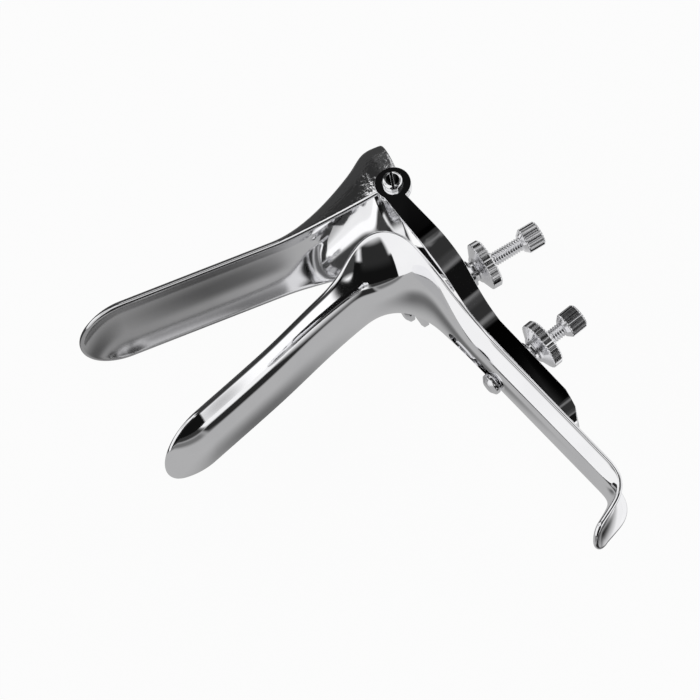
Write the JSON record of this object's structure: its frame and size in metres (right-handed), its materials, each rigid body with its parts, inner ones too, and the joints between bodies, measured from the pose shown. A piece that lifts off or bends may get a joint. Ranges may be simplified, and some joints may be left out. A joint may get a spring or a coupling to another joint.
{
  "type": "bivalve speculum",
  "caption": "Polished steel bivalve speculum with hinged upper blade, sliding yoke and knurled thumb nuts.",
  "frame": {"origin": "on the hinge axis, at the outer face of the far hinge rivet", "axes": "+Z across the instrument along the hinge axis, -X where the blades point, -Y along the handle"},
  "size_m": [0.1365, 0.1525, 0.066],
  "materials": {
    "blade_steel": "mirror polished",
    "screw_steel": "bright plated"
  },
  "bodies": {
    "handle_side": {"lower_blade_and_handle": "blade_steel"},
    "yoke_side": {"yoke": "blade_steel", "hinge_screw_near": "screw_steel", "hinge_rivet_far": "screw_steel", "lock_bolt": "screw_steel", "lock_cap": "screw_steel"},
    "upper_side": {"upper_blade": "blade_steel"},
    "opening_screw": {"opening_bolt": "screw_steel", "opening_cap": "screw_steel"},
    "opening_runner": {"opening_collar": "screw_steel"},
    "opening_wheel": {"opening_nut": "screw_steel"},
    "lock_runner": {"lock_collar": "screw_steel"},
    "lock_wheel": {"lock_nut": "screw_steel"}
  },
  "joints": [
    {"name": "yoke_slide", "type": "slide", "parent": "handle_side", "child": "yoke_side", "axis": [0, 1, 0], "range_m": [0, 0.018]},
    {"name": "blade_hinge", "type": "hinge", "parent": "yoke_side", "child": "upper_side", "pos_m": [0, 0, 0.0275], "axis": [0, 0, 1], "range_deg": [-22, 26]},
    {"name": "opening_screw_swing", "type": "hinge", "parent": "yoke_side", "child": "opening_screw", "pos_m": [-0.0056, -0.0085, -0.0035], "axis": [0, 0, 1], "range_deg": [-16, 18.5]},
    {"name": "opening_nut_travel", "type": "slide", "parent": "opening_screw", "child": "opening_runner", "axis": [0.9903, -0.1392, 0], "range_m": [-0.0037, 0.0044]},
    {"name": "opening_nut_spin", "type": "hinge", "parent": "opening_runner", "child": "opening_wheel", "pos_m": [-0.0056, -0.0085, -0.0035], "axis": [0.9903, -0.1392, 0], "continuous": true},
    {"name": "lock_nut_travel", "type": "slide", "parent": "yoke_side", "child": "lock_runner", "axis": [1, 0, 0], "range_m": [0, 0.005]},
    {"name": "lock_nut_spin", "type": "hinge", "parent": "lock_runner", "child": "lock_wheel", "pos_m": [0, -0.057, 0.0275], "axis": [1, 0, 0], "continuous": true}
  ],
  "couplings": [
    {"joint": "opening_screw_swing", "follows": "blade_hinge", "ratio": 0.7},
    {"joint": "opening_nut_travel", "follows": "blade_hinge", "m_per_rad": 0.0095}
  ]
}
